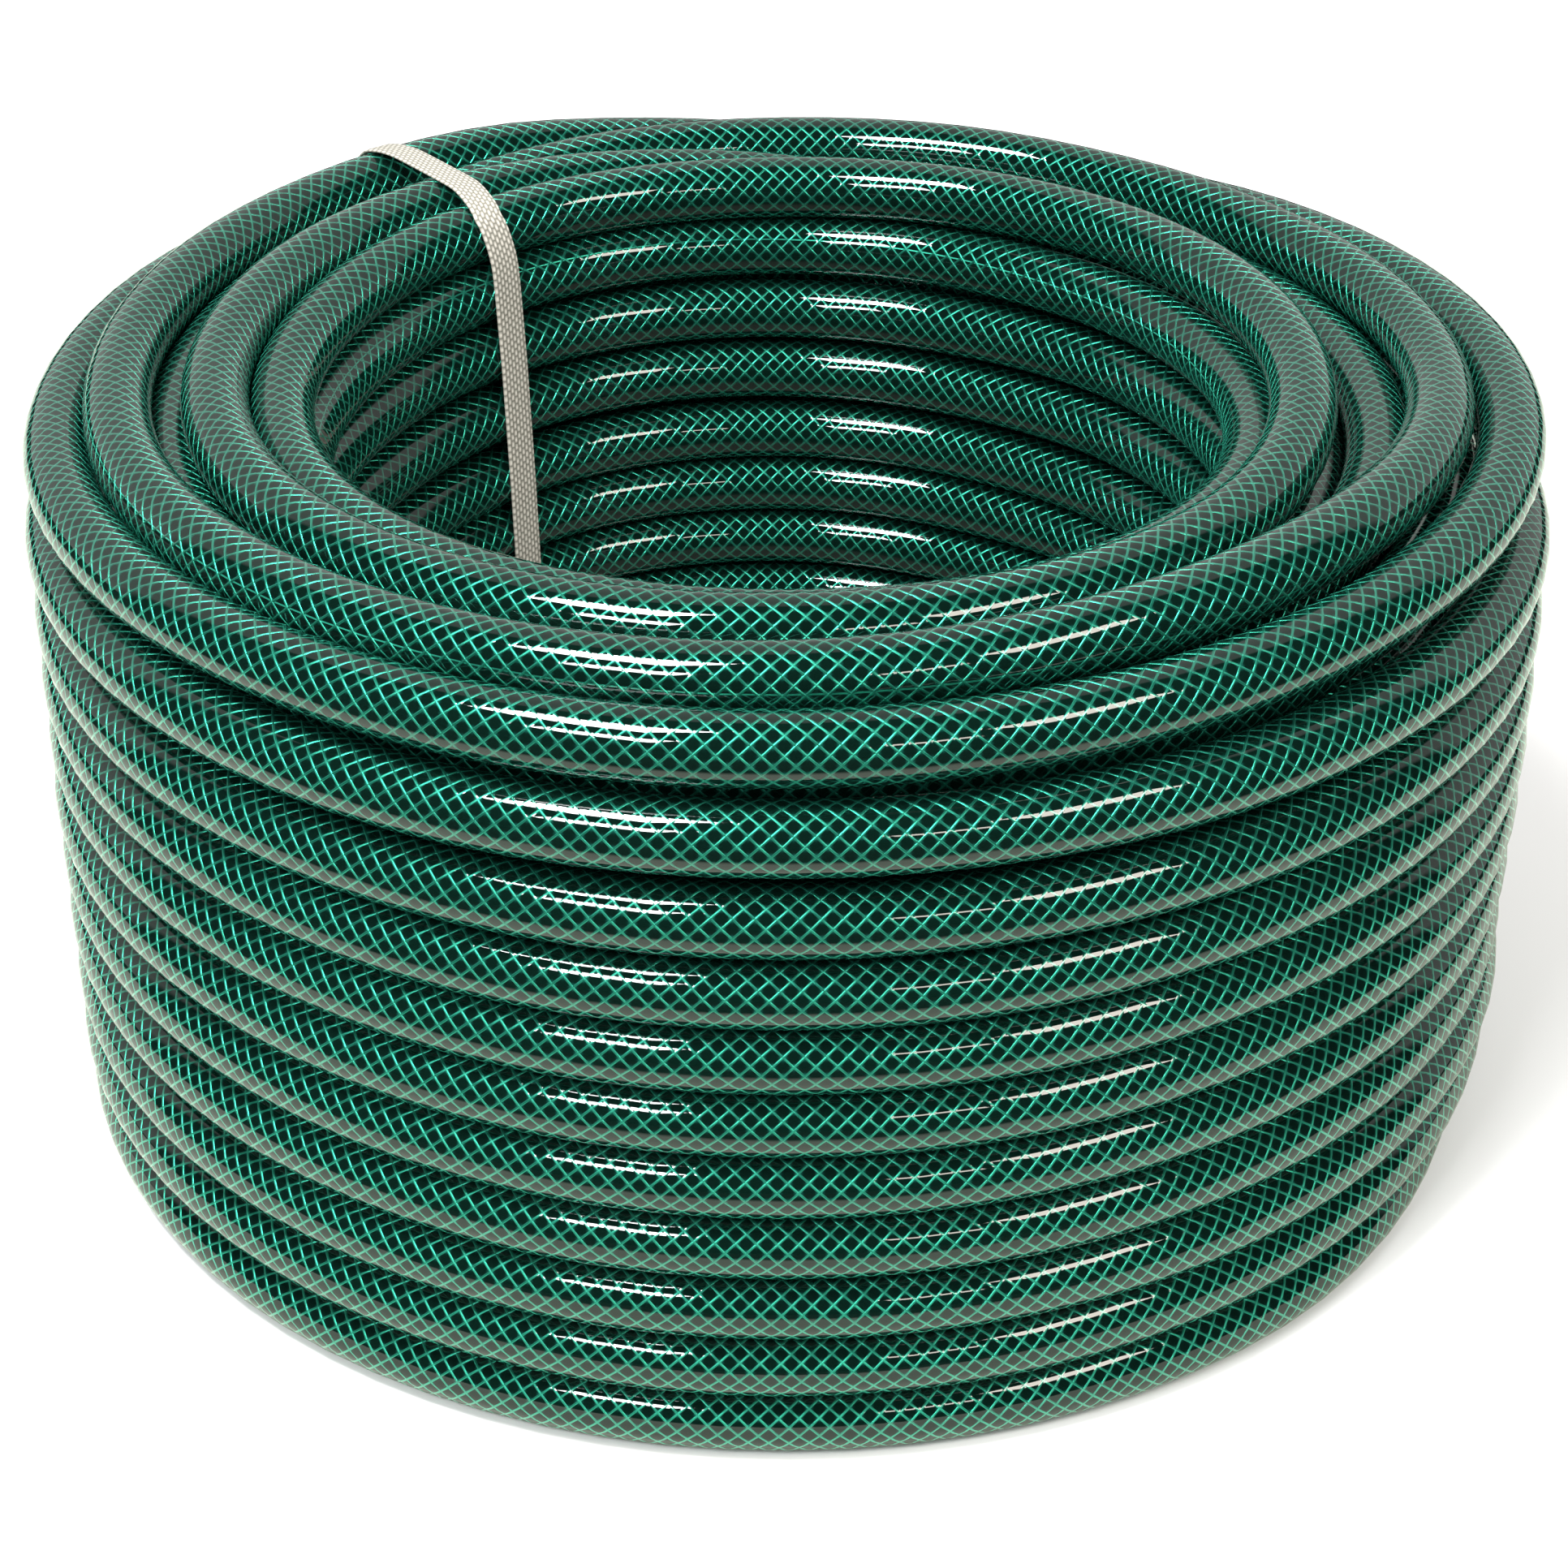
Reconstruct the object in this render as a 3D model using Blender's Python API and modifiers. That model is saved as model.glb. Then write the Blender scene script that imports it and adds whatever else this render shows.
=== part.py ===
"""A coil of reinforced garden hose that stands on its flat end, tied once with a woven strap.

Metres, +Z up. The origin is on the floor, in the middle of the coil's bore.
The coil is one turned ring. Its turns show as ridges on the outer wall, the top, the bore and the
underside. Every second layer lies half a turn higher, because its turns rest in the grooves of the next.
"""

import math

import bmesh
import bpy
from mathutils import Vector
from mathutils.geometry import convex_hull_2d

# The hose: 12.5 mm bore and a wall of 2 mm
HOSE_D = 0.0165

# The coil, over the outsides of its turns
COIL_D = 0.378
BORE_D = 0.222
COIL_HEIGHT = 0.2015  # to the crests of the high layers
TOP_STEP = 0.0085  # how much lower the top turns of the other layers end
ROW_GAP = 0.0010  # between a turn and the one above it
LAYER_GAP = 0.0004  # what a layer stands off from the groove that it rests in
COIL_SIDES = 40

# The strap round the wall of the coil
STRAP_WIDTH = 0.009
STRAP_THICK = 0.0008
STRAP_ANGLE = math.radians(131)  # from +X, seen from above
STRAP_PLAY = 0.0005  # on each side of the strap, in the groove that it presses under the coil

# The space that two touching pieces keep
CLEARANCE = 0.0003

HOSE_COLOUR = (0.012, 0.085, 0.060, 1)
STRAP_COLOUR = (0.46, 0.44, 0.39, 1)

# What the sizes above give: each turn is an octagon whose flats are one hose diameter apart
hose_r = HOSE_D / 2
half_flat = hose_r * math.tan(math.radians(22.5))
row_pitch = HOSE_D + ROW_GAP
layer_pitch = HOSE_D * math.sin(math.radians(60)) + LAYER_GAP
groove_depth = STRAP_THICK + CLEARANCE


def evenly(first, last, pitch):
    """Places from first to last, as near to one pitch apart as fits."""
    spaces = max(1, round(abs(last - first) / pitch))
    return [first + (last - first) * i / spaces for i in range(spaces + 1)]


def top_and_bottom(layer):
    """Heights of the middles of a layer's top and bottom turns. The outermost layer is number 0."""
    high = layer % 2 == 1
    top = COIL_HEIGHT - hose_r - (0 if high else TOP_STEP)
    bottom = hose_r + (row_pitch / 2 if high else 0)
    return top, bottom


def ridges(middles, normal, along):
    """The profile over a run of turns: a flat on each one, and a groove between neighbours."""
    points = []
    for i, middle in enumerate(middles):
        if i:
            points.append((middles[i - 1] + middle) / 2 + normal * half_flat)
        points.append(middle + normal * hose_r - along * half_flat)
        points.append(middle + normal * hose_r + along * half_flat)
    return points


def coil_profile():
    """The section of the coil's wall, as (radius, height), down its outer side first."""
    right, left = Vector((1, 0)), Vector((-1, 0))
    up, down = Vector((0, 1)), Vector((0, -1))
    radii = evenly(COIL_D / 2 - hose_r, BORE_D / 2 + hose_r, layer_pitch)
    ends = [top_and_bottom(layer) for layer in range(len(radii))]
    outer = [Vector((radii[0], z)) for z in evenly(*ends[0], row_pitch)]
    inner = [Vector((radii[-1], z)) for z in evenly(*ends[-1], row_pitch)]
    tops = [Vector((r, top)) for r, (top, bottom) in zip(radii, ends)]
    bottoms = [Vector((r, bottom)) for r, (top, bottom) in zip(radii, ends)]
    return (
        ridges(outer, right, down)
        + ridges(bottoms, down, left)
        + ridges(inner[::-1], left, up)
        + ridges(tops[::-1], up, right)
    )


def raised_floor(outline, height):
    """A convex outline with the part below a height cut off."""
    cut = []
    for a, b in zip(outline, outline[1:] + outline[:1]):
        if a.y >= height:
            cut.append(a)
        if (a.y < height) != (b.y < height):
            cut.append(a.lerp(b, (height - a.y) / (b.y - a.y)))
    return cut


def grown(outline, distance):
    """A convex outline, counter-clockwise, with every side moved out by a distance."""
    corners = []
    for before, corner, after in zip(outline[-1:] + outline[:-1], outline, outline[1:] + outline[:1]):
        first = (corner - before).normalized()
        second = (after - corner).normalized()
        first_out = Vector((first.y, -first.x))
        second_out = Vector((second.y, -second.x))
        corners.append(corner + (first_out + second_out) * distance / (1 + first_out.dot(second_out)))
    return corners


def new_object(name, data, collection):
    obj = bpy.data.objects.new(name, data)
    collection.objects.link(obj)
    return obj


def plastic(name, colour, roughness):
    material = bpy.data.materials.new(name)
    material.use_nodes = True
    shader = material.node_tree.nodes["Principled BSDF"]
    shader.inputs["Base Color"].default_value = colour
    shader.inputs["Roughness"].default_value = roughness
    shader.inputs["Metallic"].default_value = 0
    return material


def make_groove_cutter(collection):
    """A bar under the coil that presses the strap's groove across the lowest turns."""
    length = (COIL_D - BORE_D) / 2 + 2 * HOSE_D
    middle = (COIL_D + BORE_D) / 4
    height = 2 * groove_depth
    mesh = bpy.data.meshes.new("groove_cutter")
    bm = bmesh.new()
    bmesh.ops.create_cube(bm, size=1)
    bmesh.ops.scale(bm, vec=(length, STRAP_WIDTH + 2 * STRAP_PLAY, height), verts=bm.verts)
    bm.to_mesh(mesh)
    bm.free()
    cutter = new_object("groove_cutter", mesh, collection)
    cutter.location = (middle * math.cos(STRAP_ANGLE), middle * math.sin(STRAP_ANGLE), 0)
    cutter.rotation_euler.z = STRAP_ANGLE
    cutter.hide_render = True
    cutter.display_type = "WIRE"
    return cutter


def make_hose_coil(collection, cutter):
    """The wound hose: a ridged ring, turned about +Z, with the strap's groove in its underside."""
    mesh = bpy.data.meshes.new("hose_coil")
    bm = bmesh.new()
    points = [bm.verts.new((p.x, 0, p.y)) for p in coil_profile()]
    for a, b in zip(points, points[1:] + points[:1]):
        bm.edges.new((a, b))
    bm.to_mesh(mesh)
    bm.free()
    coil = new_object("hose_coil", mesh, collection)
    turning = coil.modifiers.new("turned", "SCREW")
    turning.axis = "Z"
    turning.steps = turning.render_steps = COIL_SIDES
    turning.use_merge_vertices = True
    turning.merge_threshold = 0.0001
    turning.use_smooth_shade = True
    groove = coil.modifiers.new("strap_groove", "BOOLEAN")
    groove.operation = "DIFFERENCE"
    groove.object = cutter
    mesh.materials.append(plastic("glossy_pvc_hose", HOSE_COLOUR, 0.15))
    return coil


def make_strap(collection):
    """The strap: a flat closed loop, drawn tight over the turns that stand out furthest."""
    bore_r = BORE_D / 2
    wall_middle = (COIL_D + BORE_D) / 4
    # The strap is straight across its width, so on the hollow wall of the bore only its edges touch
    hollow = bore_r * (1 - math.cos(math.pi / COIL_SIDES)) + (STRAP_WIDTH / 2) ** 2 / BORE_D
    profile = [p - Vector((hollow, 0)) if p.x < wall_middle else p for p in coil_profile()]
    hull = [profile[i] for i in convex_hull_2d(profile)]
    around = sum(a.cross(b) for a, b in zip(hull, hull[1:] + hull[:1]))
    hull = hull if around > 0 else hull[::-1]
    seat = raised_floor(hull, groove_depth)
    curve = bpy.data.curves.new("strap", "CURVE")
    curve.dimensions = "2D"
    curve.fill_mode = "BOTH"
    curve.extrude = STRAP_WIDTH / 2
    curve.render_resolution_u = 0
    for outline in (grown(seat, CLEARANCE + STRAP_THICK), grown(seat, CLEARANCE)):
        spline = curve.splines.new("POLY")
        spline.points.add(len(outline) - 1)
        for point, corner in zip(spline.points, outline):
            point.co = (corner.x, corner.y, 0, 1)
        spline.use_cyclic_u = True
    strap = new_object("strap", curve, collection)
    strap.rotation_euler = (math.radians(90), 0, STRAP_ANGLE)
    curve.materials.append(plastic("woven_strap", STRAP_COLOUR, 0.8))
    return strap


for old in list(bpy.data.objects):
    bpy.data.objects.remove(old, do_unlink=True)
parts = bpy.data.collections.new("reinforced_hose_coil")
cutters = bpy.data.collections.new("cutters")
for folder in (parts, cutters):
    bpy.context.scene.collection.children.link(folder)

groove_cutter = make_groove_cutter(cutters)
make_hose_coil(parts, groove_cutter)
make_strap(parts)
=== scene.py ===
"""Looks of a coil of braid-reinforced garden hose, tied once with a woven strap."""

import math

import bmesh
import bpy
import numpy as np
from mathutils import Matrix, Vector
from mathutils.geometry import convex_hull_2d


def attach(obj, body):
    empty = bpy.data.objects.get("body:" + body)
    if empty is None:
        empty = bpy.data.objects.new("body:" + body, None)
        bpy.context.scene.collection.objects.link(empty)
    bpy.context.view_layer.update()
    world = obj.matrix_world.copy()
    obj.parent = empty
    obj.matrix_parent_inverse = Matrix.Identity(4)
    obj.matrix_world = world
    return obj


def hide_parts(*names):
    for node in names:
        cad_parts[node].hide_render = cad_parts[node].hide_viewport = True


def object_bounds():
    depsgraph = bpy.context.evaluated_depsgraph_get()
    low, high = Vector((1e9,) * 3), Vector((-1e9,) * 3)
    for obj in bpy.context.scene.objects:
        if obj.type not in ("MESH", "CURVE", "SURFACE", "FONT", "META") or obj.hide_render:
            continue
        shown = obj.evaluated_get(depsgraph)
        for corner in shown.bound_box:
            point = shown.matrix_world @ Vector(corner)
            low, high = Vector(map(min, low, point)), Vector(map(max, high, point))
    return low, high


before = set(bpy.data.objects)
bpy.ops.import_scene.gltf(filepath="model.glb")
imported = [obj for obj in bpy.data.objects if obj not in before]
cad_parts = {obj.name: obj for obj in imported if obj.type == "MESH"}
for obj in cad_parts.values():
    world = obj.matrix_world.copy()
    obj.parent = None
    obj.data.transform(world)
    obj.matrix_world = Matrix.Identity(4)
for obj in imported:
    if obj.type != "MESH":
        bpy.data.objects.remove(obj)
cad_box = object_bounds()

# Camera
# It stands 0.88 m away in front of the coil and looks down at 30 degrees.
camera_data = bpy.data.cameras.new("camera")
camera_data.lens = 76.63
camera_data.sensor_width = 36
camera_data.clip_start = 0.05
camera = bpy.data.objects.new("camera", camera_data)
bpy.context.scene.collection.objects.link(camera)
camera.location = (0, -0.7597, 0.5138)
camera.rotation_euler = (math.radians(59.774), 0, 0)
bpy.context.scene.camera = camera
bpy.context.scene.view_settings.view_transform = "Standard"

# The hose
# One length of half-inch garden hose: a dark PVC tube with a yarn net, pressed under a clear skin.
# It is wound on a drum, layer on layer, and lifted off as a coil. Each layer climbs by one turn at
# the back of the coil, and the next layer climbs back. The last turns have sprung loose.
HOSE_D = 0.0165
HOSE_BORE = 0.0125
BORE_SHOWN = 0.04  # how deep the bore is open at each cut end
STEPS = 80  # points in a turn of the coil
HOSE_SIDES = 20
LAYER_TURNS = 11
MM = 0.001

# Angles go clockwise in degrees from the coil's right-hand side, as seen from above. Radii and heights are
# in mm, of the hose's centre line.
# Radius and heights of each layer's turns, from the floor up, innermost layer first, and the angles that
# each turn climbs between. The inner layers sit a little to the left of the coil's middle.
LAYERS = [
    {"radius": 119.3, "off_centre": 2.5, "climb": (30, 260),
     "rows": [3.7, 20.2, 36.7, 53.2, 69.7, 87, 103.8, 120.5, 139.3, 157.6, 175.9]},
    {"radius": 133.8, "off_centre": 2, "climb": (225, 340),
     "rows": [17 + 17 * k for k in range(10)] + [190.3]},
    {"radius": 148, "off_centre": 1, "climb": (150, 275),
     "rows": [8.4 + 16.9 * k for k in range(11)]},
    {"radius": 163, "off_centre": 0, "climb": (225, 340),
     "rows": [17 + 17 * k for k in range(10)] + [189.7]},
    {"climb": (225, 340)},
]
# The outermost turns have worked loose: radius and height of each on the right, in front and on the left
OUTER_RADII = [
    (173, 176.5, 177), (177.8, 177.3, 177.9), (179.6, 177.6, 177.8), (178.6, 177.6, 178),
    (179, 177.6, 178), (179.8, 177.6, 178.3), (180.2, 177.6, 177.8), (180.2, 177.6, 177.8),
    (180.2, 177.6, 177.5), (179.9, 177.6, 177), (179.9, 177.6, 177),
]
OUTER_ROWS = [
    (8.4, 8.4, 8.4), (24.9, 24.9, 24.9), (41, 41.5, 41.5), (57.3, 58.4, 59.5),
    (74, 75, 76.5), (91.3, 91.3, 93), (107.8, 107.8, 109.5), (124.2, 124.4, 126),
    (141, 142, 142.5), (160, 162, 162.5), (180.5, 181.4, 181),
]
TAIL_DROP = 9  # of the last turn, which leads off below the one before it
# How the sprung turns lie, as (angle, radius, height) from the turn named on: three on top, and the lowest
# of the outermost layer, which is drawn in on the right
SPRUNG_TURNS = {
    10: [(0, 116, 176), (45, 117, 177.5), (90, 119, 180), (135, 123, 181.5), (180, 123, 184.5),
         (210, 122.5, 189), (229, 121.5, 191), (250, 120, 192), (270, 119, 192.5), (300, 121.5, 192.5),
         (360, 125.5, 190.5), (405, 130.5, 186.5), (450, 134.5, 187), (495, 138.5, 187.5),
         (540, 138, 190.5), (570, 138, 193), (589, 137.5, 193), (610, 137.5, 191), (630, 136, 187.5),
         (660, 135, 179)],
    32: [(0, 145, 177.5), (45, 147, 176), (90, 148.5, 175.5), (135, 149.5, 175.5), (180, 150.5, 178),
         (210, 151.5, 183), (229, 152.5, 187), (250, 155, 190.5), (270, 157.5, 190.5), (300, 158.5, 189.5),
         (360, 159.5, 189), (405, 157, 192.5), (450, 159.5, 188.5), (495, 160.5, 187.5),
         (540, 162, 189.5), (570, 165.5, 191), (589, 168.5, 191.5), (610, 170.5, 189), (630, 171, 184),
         (660, 167.5, 175)],
    53: [(300, 179.5, 179.5), (330, 177.7, 183), (360, 177.3, 183.5), (405, 172.5, 181.5),
         (450, 173.5, 180.5), (495, 174.5, 181.5), (540, 177, 179.5), (570, 180.5, 181), (589, 180.5, 181)],
    44: [(0, 172.5, 8.4), (23, 172.6, 8.4), (36, 175.5, 8.4), (47, 177.2, 8.4), (60, 176.5, 8.4),
         (75, 176.5, 8.4)],
}
INNER_END = 100  # the angle where the hose starts, at the foot of the bore
OUTER_END = 243  # and where it ends
RADIUS_LIMITS = (115.5, 180.7)  # they keep the turns inside the coil's box
HEIGHT_LIMITS = (8.3, 193.2)

# How strongly the turns are held to these places. Those that the photo shows least give way most.
HOLD_HIDDEN = 0.02
HOLD_BORE = 0.06
HOLD_OUTSIDE = 0.2
HOLD_SPRUNG = 0.25

# The strap passes under the coil here. The rest of its values come with the strap itself.
STRAP_ANGLE = 131  # degrees, counter-clockwise from +X
STRAP_THICK = 0.0008
STRAP_LIFT_FADES = (2.7, 7.2)  # degrees to each side of the strap, where the hose comes back to the floor

around = np.arange(STEPS) * 360 / STEPS


def climbing(start, end):
    """How far a turn has moved on to the next one's place, over the angles between start and end."""
    t = np.clip((around - start) / (end - start), 0, 1)
    return t * t * (3 - 2 * t)


def outer_place(row):
    """Radius and height of an outermost turn at every angle."""
    right_or_left = np.cos(np.radians(around))
    share = right_or_left[:, None] ** 2
    right, front, left = (np.array(pair) for pair in zip(OUTER_RADII[row], OUTER_ROWS[row]))
    side = np.where(right_or_left[:, None] > 0, right, left)
    return side * share + front * (1 - share)


def planned_turns():
    """The wound coil before it settles: radius and height of each turn, at each angle."""
    places = []
    for number, layer in enumerate(LAYERS[:-1]):
        radius = layer["radius"] - layer["off_centre"] * np.cos(np.radians(around))
        rows = [np.column_stack([radius, np.full(STEPS, z)]) for z in layer["rows"]]
        places += rows if number % 2 == 0 else rows[::-1]
    places += [outer_place(row) for row in range(len(OUTER_ROWS))]
    places.append(places[-1] - (0, TAIL_DROP))
    turns = []
    for number, (here, there) in enumerate(zip(places, places[1:])):
        moved = climbing(*LAYERS[number // LAYER_TURNS]["climb"])[:, None]
        turns.append(here * (1 - moved) + there * moved)
    return np.array(turns)


def through(angles, values, wanted):
    """A smooth line through values at uneven angles, read at the wanted angles."""
    slopes = np.gradient(values, angles, axis=0)
    k = np.clip(np.searchsorted(angles, wanted, side="right") - 1, 0, len(angles) - 2)
    gap = angles[k + 1] - angles[k]
    t = ((wanted - angles[k]) / gap)[:, None]
    gap = gap[:, None]
    return (
        (2 * t**3 - 3 * t**2 + 1) * values[k]
        + (t**3 - 2 * t**2 + t) * gap * slopes[k]
        + (3 * t**2 - 2 * t**3) * values[k + 1]
        + (t**3 - t**2) * gap * slopes[k + 1]
    )


def settle(turns, hold, present, rounds=400, push_rate=0.9, hold_rate=0.5, smooth_rate=0.25):
    """Pushes turns apart where they overlap, while each is held to its place and stays smooth."""
    diameter = HOSE_D / MM
    planned = turns.copy()
    itself = np.arange(len(turns))
    stiff = 1 / (hold.T + 0.05)
    share = stiff[:, :, None] / (stiff[:, :, None] + stiff[:, None, :])
    both = present.T[:, :, None] & present.T[:, None, :]
    both[:, itself, itself] = False
    from_strap = np.abs(around - (360 - STRAP_ANGLE))
    lowest = HEIGHT_LIMITS[0] + STRAP_THICK / MM * np.interp(from_strap, STRAP_LIFT_FADES, (1, 0))
    for _ in range(rounds):
        across = turns.transpose(1, 0, 2)
        apart = across[:, :, None] - across[:, None, :]
        distance = np.sqrt((apart**2).sum(-1)) + 1e-9
        push = np.where(both & (distance < diameter), (diameter - distance) / distance, 0)
        turns += (push_rate * (share * push)[..., None] * apart).sum(2).transpose(1, 0, 2)
        turns += (planned - turns) * hold[..., None] * hold_rate
        line = turns.reshape(-1, 2)
        line[1:-1] += smooth_rate * (line[2:] + line[:-2] - 2 * line[1:-1])
        turns[..., 0] = np.clip(turns[..., 0], *RADIUS_LIMITS)
        turns[..., 1] = np.clip(turns[..., 1], lowest, HEIGHT_LIMITS[1])
    return turns


turns = planned_turns()
hold = np.full(turns.shape[:2], HOLD_HIDDEN)
hold[:LAYER_TURNS - 1] = HOLD_BORE
hold[-LAYER_TURNS:] = HOLD_OUTSIDE
for first, stations in SPRUNG_TURNS.items():
    stations = np.array(stations, float)
    for extra in (0, 1):
        wanted = around + 360 * extra
        known = (wanted >= stations[0, 0]) & (wanted <= stations[-1, 0])
        turns[first + extra, known] = through(stations[:, 0], stations[:, 1:], wanted[known])
        hold[first + extra, known] = HOLD_SPRUNG
present = np.ones(turns.shape[:2], bool)
present[0, around < INNER_END] = False
present[-1, around > OUTER_END] = False
turns = settle(turns, hold, present)

turning = -np.radians(around)
route = np.empty(turns.shape[:2] + (3,))
route[..., 0] = turns[..., 0] * np.cos(turning)
route[..., 1] = turns[..., 0] * np.sin(turning)
route[..., 2] = turns[..., 1]
route = route[present] * MM
along = np.concatenate([[0], np.cumsum(np.linalg.norm(np.diff(route, axis=0), axis=1))])


def new_object(name, data):
    obj = bpy.data.objects.new(name, data)
    bpy.context.scene.collection.objects.link(obj)
    return obj


def make_hose():
    """The hose swept along its route, then hollowed at both cut ends."""
    line = bpy.data.curves.new("hose_line", "CURVE")
    line.dimensions = "3D"
    line.twist_mode = "Z_UP"
    line.bevel_depth = HOSE_D / 2
    line.bevel_resolution = HOSE_SIDES // 2 - 2
    line.use_fill_caps = True
    spline = line.splines.new("POLY")
    spline.points.add(len(route) - 1)
    spline.points.foreach_set("co", np.hstack([route, np.ones((len(route), 1))]).ravel())
    swept = bpy.data.objects.new("hose_line", line)
    mesh = bpy.data.meshes.new_from_object(swept)
    bpy.data.objects.remove(swept)
    mesh.name = "hose"
    # The sweep counts its points from 0 to 1 along the hose. The net needs metres.
    uv = np.empty(len(mesh.loops) * 2)
    mesh.uv_layers[0].data.foreach_get("uv", uv)
    uv = uv.reshape(-1, 2)
    uv[:, 0] = along[np.clip(np.round(uv[:, 0] * (len(route) - 1)).astype(int), 0, len(route) - 1)]
    mesh.uv_layers[0].data.foreach_set("uv", uv.ravel())
    mesh.uv_layers[0].name = "along_and_round"
    mesh.materials.clear()
    mesh.materials.append(hose_pvc)
    mesh.materials.append(cut_pvc)
    bm = bmesh.new()
    bm.from_mesh(mesh)
    bmesh.ops.remove_doubles(bm, verts=bm.verts, dist=0.00001)
    for face in bm.faces:
        face.smooth = True
    for cap in [face for face in bm.faces if len(face.verts) > 4]:
        cap.material_index = 1
        rim = bmesh.ops.inset_region(bm, faces=[cap], thickness=(HOSE_D - HOSE_BORE) / 2)["faces"]
        bottom = bmesh.ops.extrude_discrete_faces(bm, faces=[cap])["faces"][0]
        bmesh.ops.translate(bm, vec=bottom.normal * -BORE_SHOWN, verts=bottom.verts)
        for face in rim:
            face.material_index = 1
            face.smooth = False
        for edge in bottom.edges:
            for face in edge.link_faces:
                face.material_index = 1
    bm.to_mesh(mesh)
    bm.free()
    return new_object("hose", mesh)


def linear(hex_colour):
    """An sRGB hex colour as linear RGBA."""
    channels = [int(hex_colour[i:i + 2], 16) / 255 for i in (1, 3, 5)]
    return tuple(c / 12.92 if c <= 0.04045 else ((c + 0.055) / 1.055) ** 2.4 for c in channels) + (1,)


def node(material, kind, settings=None, **inputs):
    """A new shader node. Each input, by number (i0) or name, takes a node, a socket or a value."""
    made = material.node_tree.nodes.new(kind)
    for name, value in (settings or {}).items():
        setattr(made, name, value)
    for name, value in inputs.items():
        key = int(name[1:]) if name[0] == "i" and name[1:].isdigit() else name.replace("_", " ")
        socket = made.inputs[key]
        if isinstance(value, bpy.types.Node):
            value = value.outputs[0]
        if isinstance(value, bpy.types.NodeSocket):
            material.node_tree.links.new(value, socket)
        else:
            socket.default_value = value
    return made


YARNS = 12  # each way round
NET_PITCH = 0.0044  # metres along the hose from one yarn to the next
YARN_SHARE = 0.08  # half a yarn's width, as a share of the pitch
EDGE = (1.3, 0.7)  # where the edge of a yarn fades, as shares of half its width
ROUND_SHARE = 1.6  # where a yarn's round side meets the tube
PAINTED_GLOW_SHARE = 0.36  # how far from a yarn the painted glow of its scattered green carries, as a share of the pitch
LINE_SHARE = 0.003  # half the width of the thread that runs along the hose, as a share of the way round
# The thread keeps to one side, but the hose rolls over twice, between these metres of its length
FIRST_ROLL = (5.6, 8.3)
SECOND_ROLL = (27.2, 30.2)
THREAD_AT = (-0.6, 0.284)  # before and after the first roll, as shares of the way round

# Polyester net on a black-green PVC tube, under a clear, flow-smooth PVC skin: the yarns are lustrous
# half-round threads that shine through, and the skin on top mirrors the lamps with hardly any blur.
hose_pvc = bpy.data.materials.new("clear_coated_pvc_with_polyester_net")
hose_pvc.use_nodes = True
shader = hose_pvc.node_tree.nodes["Principled BSDF"]
place = node(hose_pvc, "ShaderNodeUVMap", {"uv_map": "along_and_round"})
split = node(hose_pvc, "ShaderNodeSeparateXYZ", Vector=place)
round_count = node(hose_pvc, "ShaderNodeMath", {"operation": "MULTIPLY"}, i0=split.outputs[1], i1=YARNS)
along_count = node(hose_pvc, "ShaderNodeMath", {"operation": "DIVIDE"}, i0=split.outputs[0], i1=NET_PITCH)
threads, roundness, painted_glow = [], [], []
for way in ("ADD", "SUBTRACT"):
    count = node(hose_pvc, "ShaderNodeMath", {"operation": way}, i0=round_count, i1=along_count)
    share = node(hose_pvc, "ShaderNodeMath", {"operation": "FRACT"}, i0=count)
    centred = node(hose_pvc, "ShaderNodeMath", {"operation": "SUBTRACT"}, i0=share, i1=0.5)
    off_line = node(hose_pvc, "ShaderNodeMath", {"operation": "ABSOLUTE"}, i0=centred)
    threads.append(node(hose_pvc, "ShaderNodeMapRange", {"interpolation_type": "SMOOTHSTEP"},
                        Value=off_line, From_Min=YARN_SHARE * EDGE[0], From_Max=YARN_SHARE * EDGE[1]))
    roundness.append(node(hose_pvc, "ShaderNodeMapRange", {"interpolation_type": "SMOOTHSTEP"},
                          Value=off_line, From_Min=YARN_SHARE * ROUND_SHARE, From_Max=0))
    # Painted glow round each yarn, for light scattered in the skin
    painted_glow.append(node(hose_pvc, "ShaderNodeMapRange", {"interpolation_type": "SMOOTHSTEP"},
                     Value=off_line, From_Min=PAINTED_GLOW_SHARE, From_Max=YARN_SHARE))
rolled = node(hose_pvc, "ShaderNodeMapRange", Value=split.outputs[0],
              From_Min=FIRST_ROLL[0], From_Max=FIRST_ROLL[1], To_Min=THREAD_AT[0], To_Max=THREAD_AT[1])
rolled_again = node(hose_pvc, "ShaderNodeMapRange", Value=split.outputs[0],
                    From_Min=SECOND_ROLL[0], From_Max=SECOND_ROLL[1])
rolls = node(hose_pvc, "ShaderNodeMath", {"operation": "ADD"}, i0=rolled, i1=rolled_again)
from_line = node(hose_pvc, "ShaderNodeMath", {"operation": "SUBTRACT"}, i0=split.outputs[1], i1=rolls)
line_share = node(hose_pvc, "ShaderNodeMath", {"operation": "FRACT"}, i0=from_line)
line_centred = node(hose_pvc, "ShaderNodeMath", {"operation": "SUBTRACT"}, i0=line_share, i1=0.5)
off_thread = node(hose_pvc, "ShaderNodeMath", {"operation": "ABSOLUTE"}, i0=line_centred)
thread = node(hose_pvc, "ShaderNodeMapRange", {"interpolation_type": "SMOOTHSTEP"},
              Value=off_thread, From_Min=LINE_SHARE * EDGE[0], From_Max=LINE_SHARE * EDGE[1])
crossed = node(hose_pvc, "ShaderNodeMath", {"operation": "MAXIMUM"}, i0=threads[0], i1=threads[1])
net = node(hose_pvc, "ShaderNodeMath", {"operation": "MAXIMUM"}, i0=crossed, i1=thread)
relief = node(hose_pvc, "ShaderNodeMath", {"operation": "MAXIMUM"}, i0=roundness[0], i1=roundness[1])
painted_glow_near_yarn = node(hose_pvc, "ShaderNodeMath", {"operation": "MULTIPLY"}, i0=painted_glow[0], i1=painted_glow[1])
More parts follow.
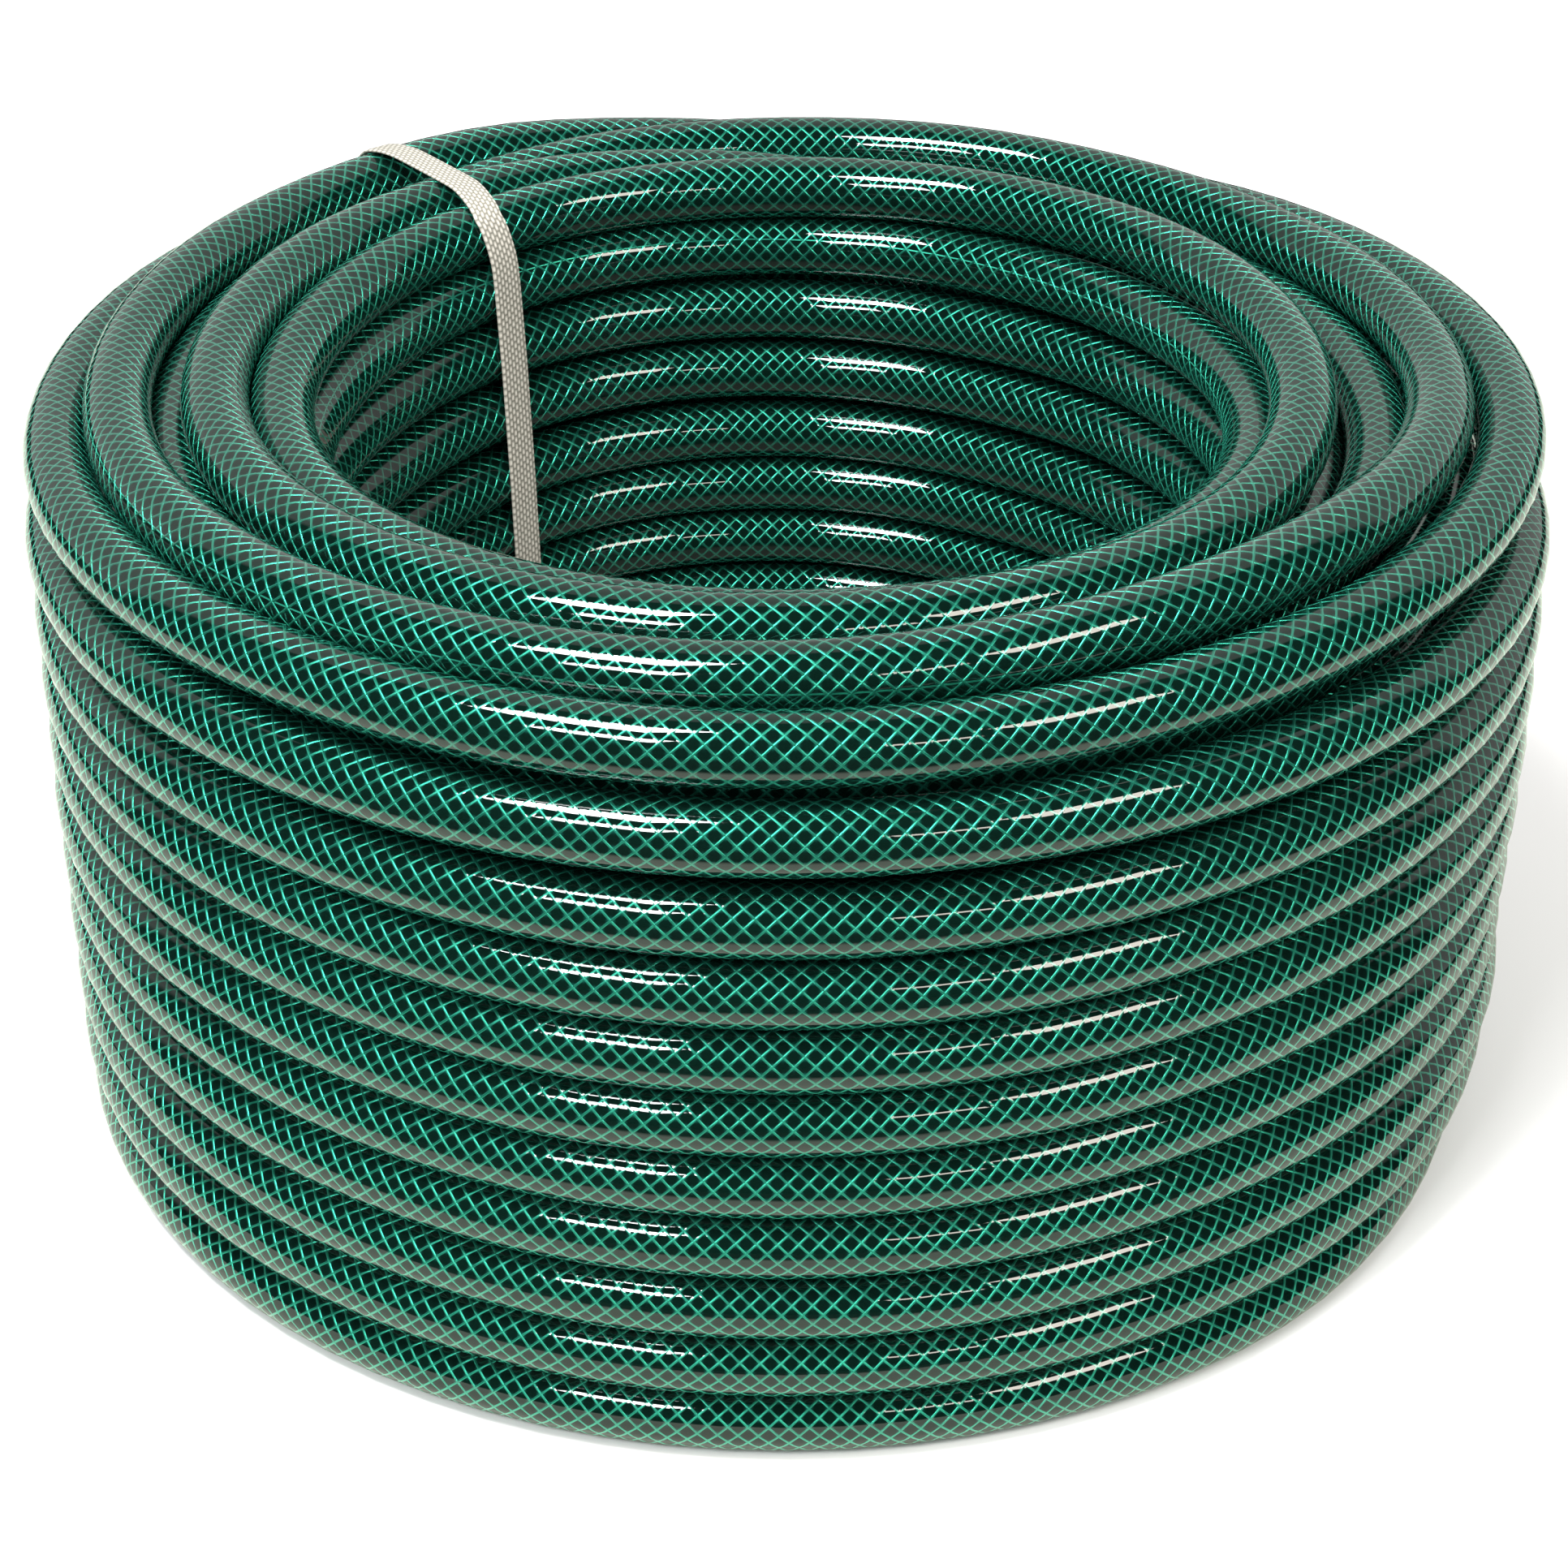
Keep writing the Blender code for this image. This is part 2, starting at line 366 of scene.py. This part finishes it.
# Painted glow: the yarns' green is painted into the corners of each cell, for the light that the clear skin
# scatters from them
ground_with_painted_glow = node(hose_pvc, "ShaderNodeMix", {"data_type": "RGBA"},
              i0=painted_glow_near_yarn, i6=linear("#04140f"), i7=linear("#0a3a31"))
tint = node(hose_pvc, "ShaderNodeMix", {"data_type": "RGBA"},
            i0=net, i6=ground_with_painted_glow.outputs[2], i7=linear("#36a58b"))
hose_pvc.node_tree.links.new(tint.outputs[2], shader.inputs["Base Color"])
metal = node(hose_pvc, "ShaderNodeMath", {"operation": "MULTIPLY"}, i0=net, i1=0.92)
hose_pvc.node_tree.links.new(metal.outputs[0], shader.inputs["Metallic"])
# The fibres of a yarn run one way, an eighth of a turn off the hose's own line, so it glints across them
grain = node(hose_pvc, "ShaderNodeTangent", {"direction_type": "UV_MAP", "uv_map": "along_and_round"})
hose_pvc.node_tree.links.new(grain.outputs[0], shader.inputs["Tangent"])
first_on_top = node(hose_pvc, "ShaderNodeMath", {"operation": "GREATER_THAN"}, i0=threads[0], i1=threads[1])
turned = node(hose_pvc, "ShaderNodeMath", {"operation": "MULTIPLY_ADD"}, i0=first_on_top, i1=0.25, i2=0.125)
hose_pvc.node_tree.links.new(turned.outputs[0], shader.inputs["Anisotropic Rotation"])
shader.inputs["Anisotropic"].default_value = 0.92
thread_bump = node(hose_pvc, "ShaderNodeBump", Height=relief, Strength=0.8, Distance=0.0003)
hose_pvc.node_tree.links.new(thread_bump.outputs[0], shader.inputs["Normal"])
skin_bump = node(hose_pvc, "ShaderNodeBump", Height=relief, Strength=0.12, Distance=0.00008)
hose_pvc.node_tree.links.new(skin_bump.outputs[0], shader.inputs["Coat Normal"])
shader.inputs["Roughness"].default_value = 0.38
shader.inputs["Specular IOR Level"].default_value = 0
shader.inputs["Coat Weight"].default_value = 1
shader.inputs["Coat Roughness"].default_value = 0.03
shader.inputs["Coat IOR"].default_value = 1.5

# Knife-cut PVC: the ends show the dull dark wall of the tube, with no net and no gloss.
cut_pvc = bpy.data.materials.new("knife_cut_pvc")
cut_pvc.use_nodes = True
cut_shader = cut_pvc.node_tree.nodes["Principled BSDF"]
cut_shader.inputs["Base Color"].default_value = linear("#16241f")
cut_shader.inputs["Roughness"].default_value = 0.6

hose = make_hose()
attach(hose, "root")
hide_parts("hose_coil")

# The strap
# A flat band of woven polypropylene, 8.5 mm wide, passed round the wall of the coil. It is springy, so it
# stands off beside each bend, and its ends are welded where they lap, half-way up the outside.
STRAP_WIDTH = 0.0085
STRAP_PLAY = 0.0002  # between the strap and the hose
STRAP_PITCH = 0.002  # between the points of the strap's line
BEND_SLACK = 0.0018  # how far it stands off beside a bend
HULL_STEP = 5  # degrees between the points round each turn that the strap may touch
SECTION_POINTS = 16
EDGE_POWERS = (0.5, 0.35)  # they square off the ellipse of its section, in thickness and in width
LAP = 0.03  # how long the two ends run on each other
LAP_GAP = 1.1  # between the lapped ends' middles, in thicknesses
# How far it lies aside, in degrees, by radius and height added up: this falls on the way down into the bore
SLID = ((0.19, 0.265, 0.295, 0.312, 0.33, 0.36), (0, 0.8, 1.4, 2.3, 0.8, 0))
RIB_PITCH = 0.0011  # of the weave, across the band
PICK_PITCH = 0.0021  # of the weave, along the band


def evenly_along(points, pitch):
    """Points a pitch apart on a closed line."""
    closed = np.vstack([points, points[:1]])
    lengths = np.concatenate([[0], np.cumsum(np.linalg.norm(np.diff(closed, axis=0), axis=1))])
    places = np.arange(0, lengths[-1], lengths[-1] / round(lengths[-1] / pitch))
    return np.column_stack([np.interp(places, lengths, closed[:, axis]) for axis in (0, 1)])


def strap_line(rounds=24):
    """The line the strap takes round the coil's wall, as (radius, height), from its lap on."""
    station = round((360 - STRAP_ANGLE) / 360 * STEPS)
    middles = turns[:, station][present[:, station]] * MM
    reach = HOSE_D / 2 + STRAP_PLAY + STRAP_THICK / 2
    corners = [(middles @ (right, up)).argmax() for right in (-1, 1) for up in (-1, 1)]
    points = []
    for number, (r, z) in enumerate(middles):
        for angle in np.radians(np.arange(0, 360, HULL_STEP)):
            away = reach + (BEND_SLACK * math.cos(2 * angle) ** 2 if number in corners else 0)
            points.append(Vector((r + away * math.cos(angle), z + away * math.sin(angle))))
    hull = [points[k] for k in convex_hull_2d(points)]
    if sum(a.cross(b) for a, b in zip(hull, hull[1:] + hull[:1])) < 0:
        hull.reverse()
    line = evenly_along(np.array(hull), STRAP_PITCH)
    for _ in range(rounds):
        line += ((np.roll(line, 1, 0) + np.roll(line, -1, 0)) / 2 - line) / 2
        away = line[:, None] - middles[None]
        distance = np.linalg.norm(away, axis=2)
        nearest = distance.argmin(1)
        rows = np.arange(len(line))
        short = np.clip(reach - distance[rows, nearest], 0, None)
        line += away[rows, nearest] / distance[rows, nearest, None] * short[:, None]
        line[:, 1] = np.clip(line[:, 1], STRAP_THICK / 2, cad_box[1][2] - 0.6 * STRAP_THICK)
    line = evenly_along(line, STRAP_PITCH)
    lapped = np.argmin(np.linalg.norm(line - (line[:, 0].max(), HEIGHT_LIMITS[1] * MM / 2), axis=1))
    line = np.roll(line, -lapped, axis=0)
    under = line[:round(LAP / STRAP_PITCH)]
    return np.vstack([line[:-2], under + (STRAP_THICK * LAP_GAP, 0)])


def make_strap():
    """A thin rounded section swept along the strap's line, in the upright plane that it lies in."""
    points = strap_line()
    section = bpy.data.curves.new("strap_section", "CURVE")
    edge = section.splines.new("POLY")
    edge.points.add(SECTION_POINTS - 1)
    for k, point in enumerate(edge.points):
        angle = math.tau * (k + 0.5) / SECTION_POINTS
        flat = (math.cos(angle), math.sin(angle))
        point.co = (math.copysign(abs(flat[0]) ** EDGE_POWERS[0] * STRAP_THICK / 2, flat[0]),
                    math.copysign(abs(flat[1]) ** EDGE_POWERS[1] * STRAP_WIDTH / 2, flat[1]), 0, 1)
    edge.use_cyclic_u = True
    outline = new_object("strap_section", section)
    band = bpy.data.curves.new("strap_line", "CURVE")
    band.dimensions = "2D"
    band.bevel_mode = "OBJECT"
    band.bevel_object = outline
    band.use_fill_caps = True
    spline = band.splines.new("POLY")
    spline.points.add(len(points) - 1)
    flat_points = np.hstack([points, np.zeros((len(points), 1)), np.ones((len(points), 1))])
    spline.points.foreach_set("co", flat_points.ravel())
    swept = new_object("strap_line", band)
    mesh = bpy.data.meshes.new_from_object(swept.evaluated_get(bpy.context.evaluated_depsgraph_get()))
    for helper in (swept, outline):
        bpy.data.objects.remove(helper)
    # The weave needs metres along and across the band
    uv = np.empty(len(mesh.loops) * 2)
    mesh.uv_layers[0].data.foreach_get("uv", uv)
    uv = uv.reshape(-1, 2)
    uv[:, 0] *= (len(points) - 1) * STRAP_PITCH
    uv[:, 1] = [mesh.vertices[loop.vertex_index].co.z for loop in mesh.loops]
    mesh.uv_layers[0].data.foreach_set("uv", uv.ravel())
    mesh.uv_layers[0].name = "along_and_across"
    mesh.materials.clear()
    mesh.materials.append(strap_weave)
    # It has slid aside where it bends into the bore
    for vertex in mesh.vertices:
        r, z, _ = vertex.co
        if r < RADIUS_LIMITS[1] * MM:
            vertex.co.z -= r * math.radians(np.interp(r + z, *SLID))
    upright = Matrix.Rotation(math.radians(90), 4, "X")
    mesh.transform(Matrix.Rotation(math.radians(STRAP_ANGLE), 4, "Z") @ upright)
    for face in mesh.polygons:
        face.use_smooth = True
    return new_object("strap_band", mesh)


# Polypropylene tape woven in a plain weave and pressed flat: each rib dives under the next, so the band
# shows rows of small satin ovals, with painted shade darkening the pits between them.
strap_weave = bpy.data.materials.new("plain_woven_polypropylene")
strap_weave.use_nodes = True
weave_shader = strap_weave.node_tree.nodes["Principled BSDF"]
band_place = node(strap_weave, "ShaderNodeUVMap", {"uv_map": "along_and_across"})
band_split = node(strap_weave, "ShaderNodeSeparateXYZ", Vector=band_place)
rib_count = node(strap_weave, "ShaderNodeMath", {"operation": "DIVIDE"},
                 i0=band_split.outputs[1], i1=RIB_PITCH)
pick_count = node(strap_weave, "ShaderNodeMath", {"operation": "DIVIDE"},
                  i0=band_split.outputs[0], i1=PICK_PITCH)
rib_number = node(strap_weave, "ShaderNodeMath", {"operation": "FLOOR"}, i0=rib_count)
shifted = node(strap_weave, "ShaderNodeMath", {"operation": "MULTIPLY_ADD"},
               i0=rib_number, i1=0.5, i2=pick_count)
over_rib = node(strap_weave, "ShaderNodeMath", {"operation": "MULTIPLY"}, i0=rib_count, i1=math.pi)
over_pick = node(strap_weave, "ShaderNodeMath", {"operation": "MULTIPLY"}, i0=shifted, i1=math.pi)
rib_wave = node(strap_weave, "ShaderNodeMath", {"operation": "SINE"}, i0=over_rib)
pick_wave = node(strap_weave, "ShaderNodeMath", {"operation": "SINE"}, i0=over_pick)
rib_height = node(strap_weave, "ShaderNodeMath", {"operation": "ABSOLUTE"}, i0=rib_wave)
pick_height = node(strap_weave, "ShaderNodeMath", {"operation": "ABSOLUTE"}, i0=pick_wave)
oval = node(strap_weave, "ShaderNodeMath", {"operation": "MULTIPLY"}, i0=rib_height, i1=pick_height)
# Painted shade: the pits between the ovals are coloured darker, as if shaded
strap_tint_with_painted_shade = node(strap_weave, "ShaderNodeMix", {"data_type": "RGBA"},
                  i0=oval, i6=linear("#6f6d63"), i7=linear("#cdc8bd"))
strap_weave.node_tree.links.new(strap_tint_with_painted_shade.outputs[2], weave_shader.inputs["Base Color"])
weave_bump = node(strap_weave, "ShaderNodeBump", Height=oval, Strength=0.7, Distance=0.0002)
strap_weave.node_tree.links.new(weave_bump.outputs[0], weave_shader.inputs["Normal"])
weave_shader.inputs["Roughness"].default_value = 0.5
strap = make_strap()
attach(strap, "root")
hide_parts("strap")

# Floor and light
# A white table that reaches past the view, and soft studio lights. As the skin of the hose mirrors it, the
# table is painted dimmer, with painted shade beyond the lit round that the coil stands in and painted shade
# on the part inside the bore.
FLOOR_SIZE = 6  # metres to each side
LIT_MIDDLE = (0, 0.47, 0)
LIT_FADES = (0.78, 0.83)  # metres from there
BORE_FADES = (0.125, 0.11)  # metres from the coil's middle
BORE_PAINTED_SHADE = 0.7  # how much painted shade darkens the mirrored table there
WALL_FADES = (0.24, 0.30)  # where the wall behind the coil ends, as the share of a direction that is +Y
floor_mesh = bpy.data.meshes.new("floor")
bm = bmesh.new()
bmesh.ops.create_grid(bm, x_segments=1, y_segments=1, size=FLOOR_SIZE)
bm.to_mesh(floor_mesh)
bm.free()
floor = new_object("floor", floor_mesh)
floor_paint = bpy.data.materials.new("white_table")
floor_paint.use_nodes = True
floor_shader = floor_paint.node_tree.nodes["Principled BSDF"]
floor_shader.inputs["Roughness"].default_value = 0.9
floor_shader.inputs["Specular IOR Level"].default_value = 0.2
spot = node(floor_paint, "ShaderNodeTexCoord")
# Painted shade: in the skin's mirror the table darkens past the lit round and inside the bore
from_middle = node(floor_paint, "ShaderNodeVectorMath", {"operation": "DISTANCE"},
                   i0=spot.outputs["Object"], i1=LIT_MIDDLE)
painted_shade_beyond = node(floor_paint, "ShaderNodeMapRange", Value=from_middle.outputs["Value"],
              From_Min=LIT_FADES[0], From_Max=LIT_FADES[1])
from_axis = node(floor_paint, "ShaderNodeVectorMath", {"operation": "LENGTH"}, i0=spot.outputs["Object"])
painted_bore_shade = node(floor_paint, "ShaderNodeMapRange", Value=from_axis.outputs["Value"],
               From_Min=BORE_FADES[0], From_Max=BORE_FADES[1], To_Max=BORE_PAINTED_SHADE)
painted_shade = node(floor_paint, "ShaderNodeMath", {"operation": "MAXIMUM"}, i0=painted_shade_beyond, i1=painted_bore_shade)
# The table as the skin mirrors it: painted dimmer than to the eye, with the painted shade mixed in
mirrored_table_with_painted_shade = node(floor_paint, "ShaderNodeMix", {"data_type": "RGBA"}, i0=painted_shade,
               i6=linear("#d0d7c8"), i7=linear("#191919"))
floor_ray = node(floor_paint, "ShaderNodeLightPath")
shade = node(floor_paint, "ShaderNodeMix", {"data_type": "RGBA"}, i0=floor_ray.outputs["Is Glossy Ray"],
             i6=linear("#f3f3f3"), i7=mirrored_table_with_painted_shade.outputs[2])
floor_paint.node_tree.links.new(shade.outputs[2], floor_shader.inputs["Base Color"])
floor_mesh.materials.append(floor_paint)

# The room is white to the eye. In the skin of the hose it is a pale wall behind the coil, and dark in front.
world = bpy.data.worlds.new("studio")
bpy.context.scene.world = world
world.use_nodes = True
outward = node(world, "ShaderNodeTexCoord")
outward_xyz = node(world, "ShaderNodeSeparateXYZ", Vector=outward.outputs["Generated"])
wall = node(world, "ShaderNodeMapRange", Value=outward_xyz.outputs[1],
            From_Min=WALL_FADES[0], From_Max=WALL_FADES[1])
mirrored = node(world, "ShaderNodeMix", {"data_type": "RGBA"}, i0=wall.outputs[0],
                i6=linear("#1c2224"), i7=linear("#e1e5df"))
ray = node(world, "ShaderNodeLightPath")
room = node(world, "ShaderNodeMix", {"data_type": "RGBA"}, i0=ray.outputs["Is Glossy Ray"],
            i6=linear("#f3f3f3"), i7=mirrored.outputs[2])
seen = node(world, "ShaderNodeMix", {"data_type": "RGBA"}, i0=ray.outputs["Is Camera Ray"],
            i6=room.outputs[2], i7=linear("#ffffff"))
world.node_tree.links.new(seen.outputs[2], world.node_tree.nodes["Background"].inputs[0])


AIM = Vector((0, 0, 0.1))  # the middle of the coil


def lamp(name, start, end, width, power, colour="#ffffff"):
    """A long soft light from one point to another, turned towards the coil. Its power is in watts."""
    start, end = Vector(start), Vector(end)
    data = bpy.data.lights.new(name, "AREA")
    data.shape = "RECTANGLE"
    data.size = (end - start).length
    data.size_y = width
    data.energy = power
    data.color = linear(colour)[:3]
    light = bpy.data.objects.new(name, data)
    bpy.context.scene.collection.objects.link(light)
    light.location = (start + end) / 2
    lengthwise = (end - start).normalized()
    back = (light.location - AIM).normalized()
    crosswise = back.cross(lengthwise).normalized()
    back = lengthwise.cross(crosswise)
    light.rotation_euler = Matrix((lengthwise, crosswise, back)).transposed().to_euler()


lamp("left_softbox", (-0.253, -0.672, 1.509), (-0.64, -0.30, 1.509), 0.34, 34)
lamp("left_softbox_skirt", (-0.366, -1.272, 1.082), (-0.731, -1.020, 1.154), 0.20, 12.5)
lamp("right_softbox", (0.728, -1.08, 1.101), (1.045, -0.595, 1.188), 0.26, 9, "#fff7ec")
lamp("right_softbox_skirt", (0.37, -1.447, 0.834), (0.691, -1.305, 0.861), 0.09, 1.6, "#fff7ec")
